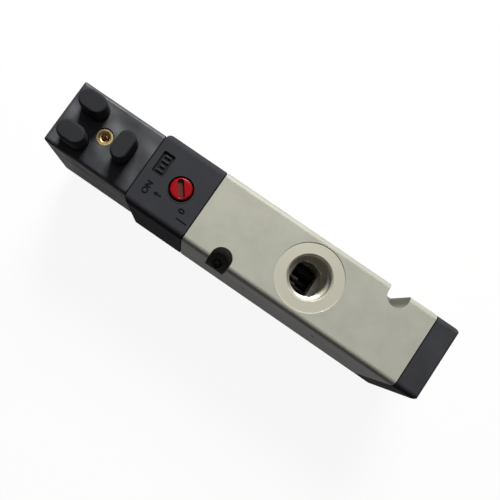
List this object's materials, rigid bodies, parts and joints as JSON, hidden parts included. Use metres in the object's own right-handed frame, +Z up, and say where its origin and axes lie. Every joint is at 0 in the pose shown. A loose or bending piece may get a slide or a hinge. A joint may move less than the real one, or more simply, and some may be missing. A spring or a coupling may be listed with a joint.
{
  "type": "pneumatic solenoid valve",
  "caption": "Single-solenoid, spring-return 3/2-way spool valve with threaded ports, quarter-turn manual override and plug contacts on a plastic coil head.",
  "frame": {"origin": "centre of the bounding box at the mounting face, z = 0", "axes": "+X along the valve from the solenoid head to the end cap, +Y across, +Z up from the mounting face to the face with the upper port, the override and the contacts"},
  "size_m": [0.135, 0.025, 0.0475],
  "materials": {
    "die_cast_body": "fine bead-blasted, ports machined bright",
    "black_polymer": "moulded, satin",
    "coil_overmould": "moulded, half gloss",
    "red_polymer": "moulded, glossy",
    "cap_polymer": "soft matte",
    "bobbin_polymer": "moulded",
    "nitrile_rubber": "matte",
    "steel": "turned",
    "brass": "turned",
    "copper_wire": "enamelled wire",
    "tinned_contact": "tinned"
  },
  "bodies": {
    "valve": {"body": "die_cast_body", "seal_spacers": "black_polymer", "spool_seals": "nitrile_rubber", "return_spring": "steel", "end_cap": "black_polymer", "end_gasket": "nitrile_rubber", "end_cap_screws": "steel", "pilot_base": "black_polymer", "base_gasket": "nitrile_rubber", "base_screws": "steel", "pilot_seat": "brass", "tube_seal": "nitrile_rubber", "knob_dowel": "steel", "head_housing": "coil_overmould", "head_gasket": "nitrile_rubber", "head_screws": "steel", "coil_bobbin": "bobbin_polymer", "coil_winding": "copper_wire", "magnet_yoke": "steel", "guide_tube": "steel", "fixed_core": "steel", "armature_spring": "steel", "connector_insert": "brass", "contact_blade_1": "tinned_contact", "contact_blade_2": "tinned_contact", "ground_blade": "tinned_contact"},
    "spool": {"spool": "steel", "pilot_piston": "black_polymer", "piston_seal": "nitrile_rubber"},
    "override_knob": {"override_knob": "red_polymer", "knob_seal": "nitrile_rubber"},
    "override_pin": {"override_pin": "brass", "pin_seal": "nitrile_rubber"},
    "armature": {"armature": "steel", "armature_seal": "nitrile_rubber"},
    "contact_cap_1": {"contact_cap_1": "cap_polymer"},
    "contact_cap_2": {"contact_cap_2": "cap_polymer"},
    "ground_cap": {"ground_cap": "cap_polymer"}
  },
  "joints": [
    {"name": "spool_slide", "type": "slide", "parent": "valve", "child": "spool", "axis": [1, 0, 0], "range_m": [0, 0.0044], "stiffness_N_per_m": 1200, "springref_m": -0.004, "deforming": ["return_spring"]},
    {"name": "override_turn", "type": "hinge", "parent": "valve", "child": "override_knob", "pos_m": [-0.0243, 0, 0.04], "axis": [0, 0, 1], "range_deg": [-90, 0]},
    {"name": "override_pin_slide", "type": "slide", "parent": "valve", "child": "override_pin", "axis": [1, 0, 0], "range_m": [-0.001, 0]},
    {"name": "armature_slide", "type": "slide", "parent": "valve", "child": "armature", "axis": [1, 0, 0], "range_m": [-0.0009, 0], "stiffness_N_per_m": 700, "springref_m": 0.0012, "deforming": ["armature_spring"]},
    {"name": "contact_cap_1_pull", "type": "slide", "parent": "valve", "child": "contact_cap_1", "axis": [0, 0, 1], "range_m": [0, 0.012]},
    {"name": "contact_cap_2_pull", "type": "slide", "parent": "valve", "child": "contact_cap_2", "axis": [0, 0, 1], "range_m": [0, 0.012]},
    {"name": "ground_cap_pull", "type": "slide", "parent": "valve", "child": "ground_cap", "axis": [0, 0, 1], "range_m": [0, 0.012]}
  ],
  "couplings": [
    {"joint": "override_turn", "follows": "override_pin_slide", "rad_per_m": 1570.8}
  ]
}
